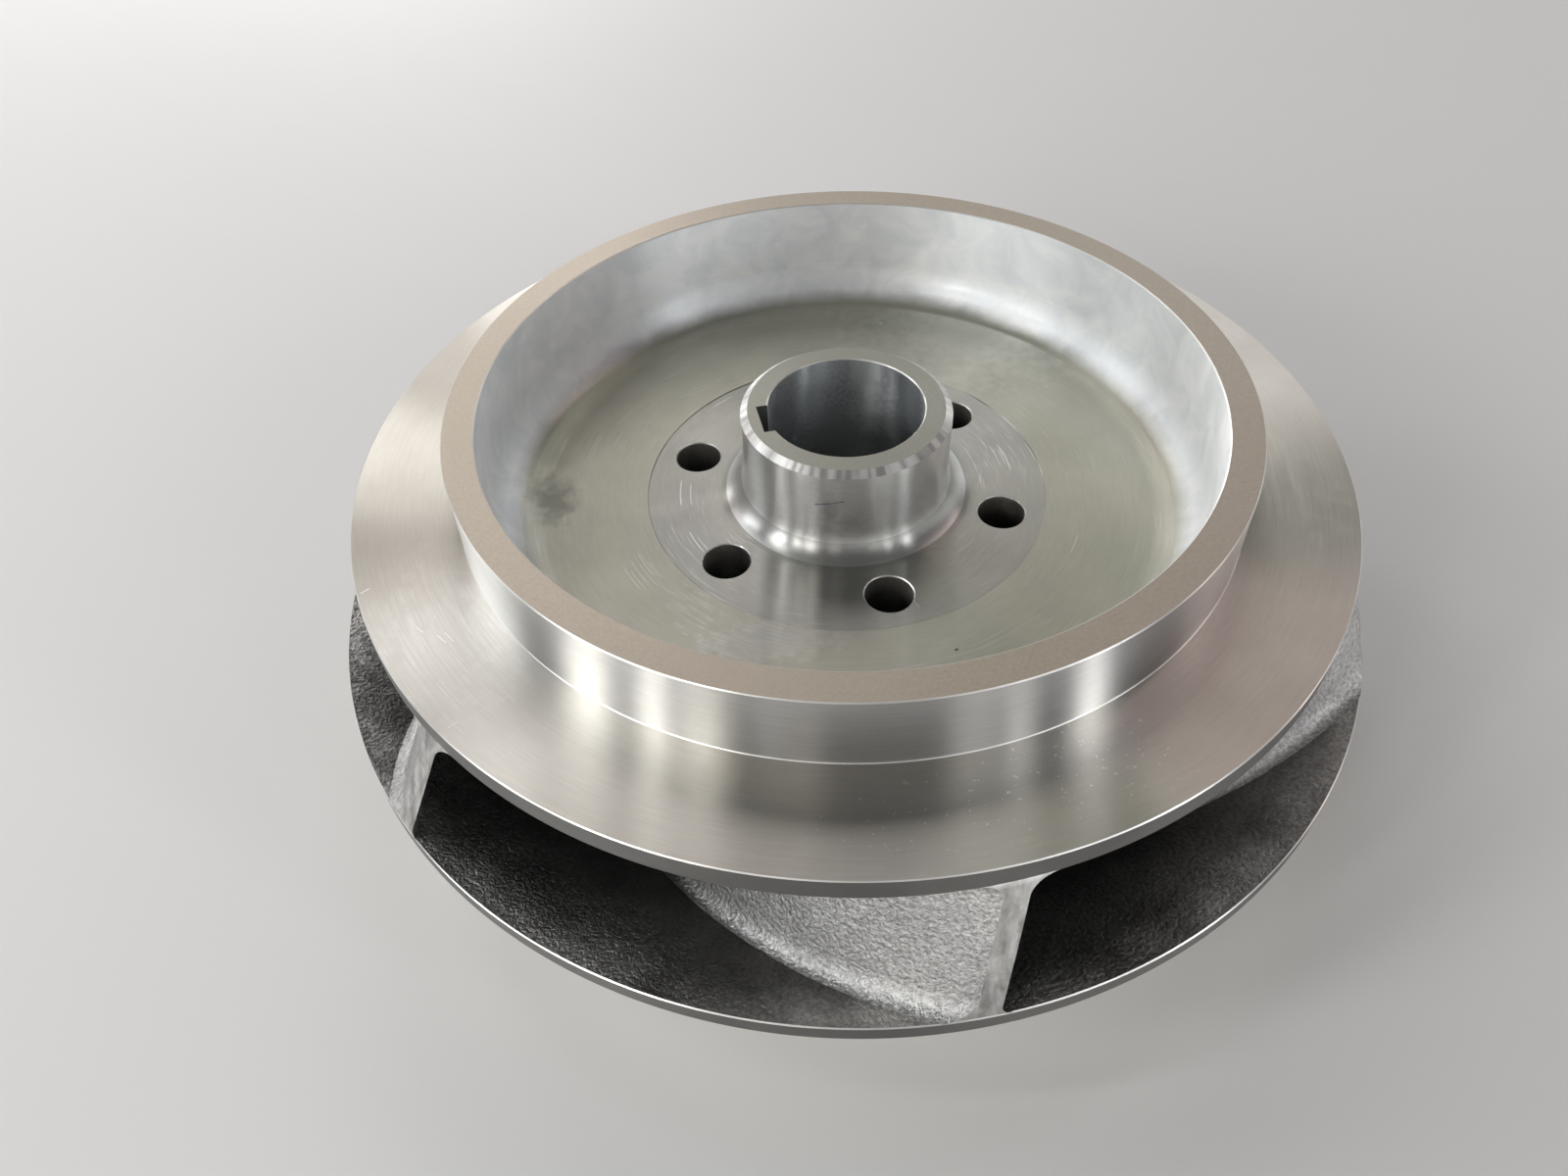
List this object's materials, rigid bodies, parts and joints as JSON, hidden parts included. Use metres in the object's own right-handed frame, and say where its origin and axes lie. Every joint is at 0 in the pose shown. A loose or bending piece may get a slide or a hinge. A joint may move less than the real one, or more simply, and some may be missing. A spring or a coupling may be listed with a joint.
{
  "type": "pump impeller",
  "caption": "Closed centrifugal pump impeller with backswept vanes between two shrouds, a keyed hub in a dished back, a balance ring and balance holes.",
  "frame": {"origin": "on the shaft axis, at the lower face of the eye ring, which is the object's lowest level", "axes": "+Z along the shaft axis from the eye to the hub side, keyway on the -X side of the bore"},
  "size_m": [0.656, 0.656, 0.2265],
  "materials": {
    "machined_hub": "turned stainless steel, satin, with a bright chamfer",
    "machined_shroud": "turned stainless steel, satin, with fine concentric tool marks",
    "machined_ring": "turned stainless steel, fine matt",
    "cast_vane": "rough blasted stainless casting",
    "cast_shroud": "rough blasted stainless casting with a turned edge"
  },
  "bodies": {
    "root": {"hub": "machined_hub", "back_shroud": "machined_shroud", "balance_ring": "machined_ring", "vane_1": "cast_vane", "vane_2": "cast_vane", "vane_3": "cast_vane", "vane_4": "cast_vane", "vane_5": "cast_vane", "vane_6": "cast_vane", "front_shroud": "cast_shroud", "eye_ring": "machined_ring"}
  },
  "joints": []
}
